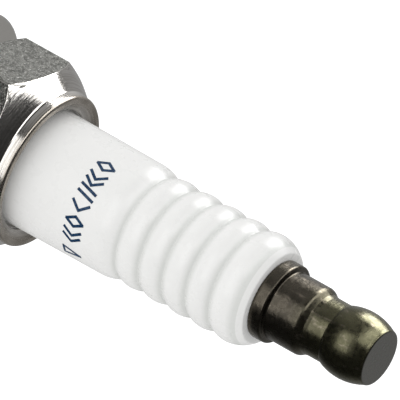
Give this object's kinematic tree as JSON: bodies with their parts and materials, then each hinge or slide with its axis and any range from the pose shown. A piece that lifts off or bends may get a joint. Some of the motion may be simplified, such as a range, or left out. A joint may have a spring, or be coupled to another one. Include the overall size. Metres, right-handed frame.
{
  "type": "spark plug",
  "caption": "Spark plug with a threaded metal shell, hexagon, ribbed ceramic insulator, solid push-on terminal and captive crush gasket.",
  "frame": {"origin": "centre of the shell's seat face, the plane that thread reach and installed height are measured from", "axes": "+Z along the plug's axis towards the terminal; -Z towards the firing end; the ground electrode's leg stands on the +X side"},
  "size_m": [0.0197, 0.0196, 0.0751],
  "materials": {
    "shell_plated_steel": "bright nickel plate, mottled on the hexagon flats and polished on the collar",
    "glazed_ceramic": "white alumina under a clear gloss glaze",
    "terminal_heat_tinted": "plated steel, semi-gloss, tinted olive brown by the furnace",
    "seal_glass": "fused copper-bearing glass powder",
    "resistor_glass": "fused carbon and glass mix, matte",
    "nickel_alloy": "drawn nickel alloy, satin",
    "copper": "drawn copper",
    "weld_metal": "laser weld bead",
    "precious_metal": "fine ground precious metal",
    "talc": "pressed talc powder",
    "packing_steel": "soft steel",
    "gasket_plated_steel": "folded plated strip"
  },
  "bodies": {
    "plug": {"metal_shell": "shell_plated_steel", "insulator": "glazed_ceramic", "terminal_post": "terminal_heat_tinted", "upper_glass_seal": "seal_glass", "resistor": "resistor_glass", "lower_glass_seal": "seal_glass", "center_electrode": "nickel_alloy", "center_electrode_core": "copper", "tip_weld": "weld_metal", "iridium_tip": "precious_metal", "talc_packing": "talc", "upper_packing_ring": "packing_steel", "lower_packing_ring": "packing_steel", "seat_packing": "packing_steel", "ground_electrode": "nickel_alloy", "ground_electrode_pad": "precious_metal"},
    "gasket": {"gasket": "gasket_plated_steel"}
  },
  "joints": [
    {"name": "gasket_slide", "type": "slide", "parent": "plug", "child": "gasket", "axis": [0, 0, 1], "range_m": [-0.0021, 0]}
  ]
}
